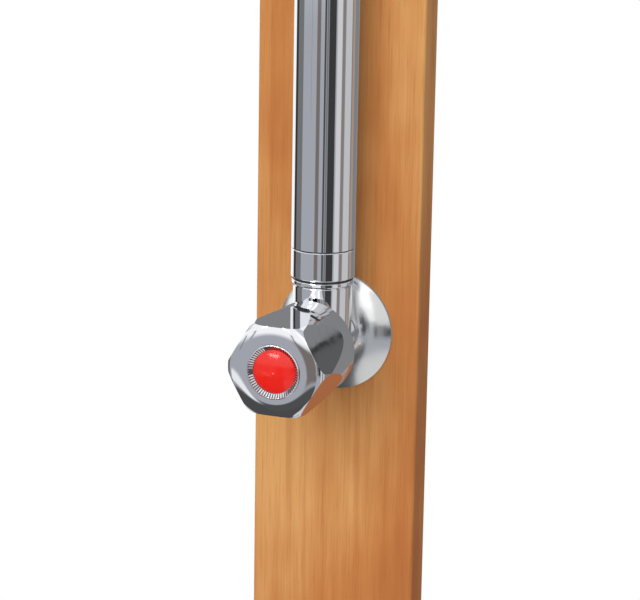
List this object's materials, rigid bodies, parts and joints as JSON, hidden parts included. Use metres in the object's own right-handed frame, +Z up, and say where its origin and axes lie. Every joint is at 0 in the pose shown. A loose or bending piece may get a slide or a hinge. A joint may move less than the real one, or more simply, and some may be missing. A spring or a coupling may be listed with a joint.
{
  "type": "outdoor shower post",
  "caption": "Outdoor shower post: wooden board on a steel foot, screw-down valve with a six-sided knob, chromed riser bent over to a swivelling shower head.",
  "frame": {"origin": "centre of the foot plate's anchor pattern, on the ground face", "axes": "+Z up along the post, -Y to the front, where the knob and the shower head are, +X to the right of someone who faces the knob"},
  "size_m": [0.3, 0.4916, 2.2059],
  "materials": {
    "oiled_wood": "oiled softwood, satin",
    "galvanised_steel": "zinc coated, matt",
    "fixing_steel": "stainless, satin",
    "bright_chrome": "polished chrome plate",
    "satin_chrome": "chrome plate, slightly dull",
    "plain_brass": "machined brass",
    "black_rubber": "matt",
    "grey_rubber": "soft moulded rubber, matt",
    "pad_plastic": "moulded, matt",
    "seat_plastic": "low friction plastic",
    "red_index": "glossy"
  },
  "bodies": {
    "post": {"post_board": "oiled_wood", "foot_plate": "galvanised_steel", "post_shoe": "galvanised_steel", "shoe_bolts": "fixing_steel", "shoe_washers": "fixing_steel", "shoe_nuts": "fixing_steel", "inlet_nipple": "plain_brass", "inlet_washer": "fixing_steel", "inlet_locknut": "plain_brass", "escutcheon": "satin_chrome", "valve_body": "bright_chrome", "collar_oring": "black_rubber", "outlet_collar": "bright_chrome", "tube_gasket": "black_rubber", "spigot_oring": "black_rubber", "headwork_gasket": "black_rubber", "headwork_body": "plain_brass", "spindle_clip": "fixing_steel", "riser_tube": "bright_chrome", "lower_saddle": "bright_chrome", "upper_saddle": "bright_chrome", "lower_saddle_pad": "pad_plastic", "upper_saddle_pad": "pad_plastic", "saddle_screws": "fixing_steel", "arm_end_plug": "bright_chrome", "nipple_gasket": "black_rubber", "ball_nipple": "bright_chrome"},
    "knob": {"knob": "bright_chrome", "knob_screw": "fixing_steel", "bezel_ring": "bright_chrome", "index_cap": "red_index", "spindle": "plain_brass", "spindle_oring": "black_rubber"},
    "jumper": {"jumper": "plain_brass", "jumper_washer": "black_rubber", "jumper_screw": "fixing_steel"},
    "ball_seat": {"ball_seat": "seat_plastic"},
    "head": {"swivel_nut": "bright_chrome", "ball_packing": "black_rubber", "head_shell": "bright_chrome", "nozzle_mat": "grey_rubber", "spray_plate": "satin_chrome", "face_ring": "bright_chrome"}
  },
  "joints": [
    {"name": "knob_turn", "type": "hinge", "parent": "post", "child": "knob", "pos_m": [0, -0.05, 1.05], "axis": [0, -1, 0], "range_deg": [0, 720]},
    {"name": "jumper_lift", "type": "slide", "parent": "post", "child": "jumper", "axis": [0, -1, 0], "range_m": [0, 0.003]},
    {"name": "head_tilt", "type": "hinge", "parent": "post", "child": "ball_seat", "pos_m": [0, -0.27496, 2.06918], "axis": [1, 0, 0], "range_deg": [-15, 15]},
    {"name": "head_sway", "type": "hinge", "parent": "ball_seat", "child": "head", "pos_m": [0, -0.27496, 2.06918], "axis": [0, -0.866, 0.5], "range_deg": [-15, 15]}
  ],
  "couplings": [
    {"joint": "jumper_lift", "follows": "knob_turn", "m_per_rad": 0.0002387}
  ]
}
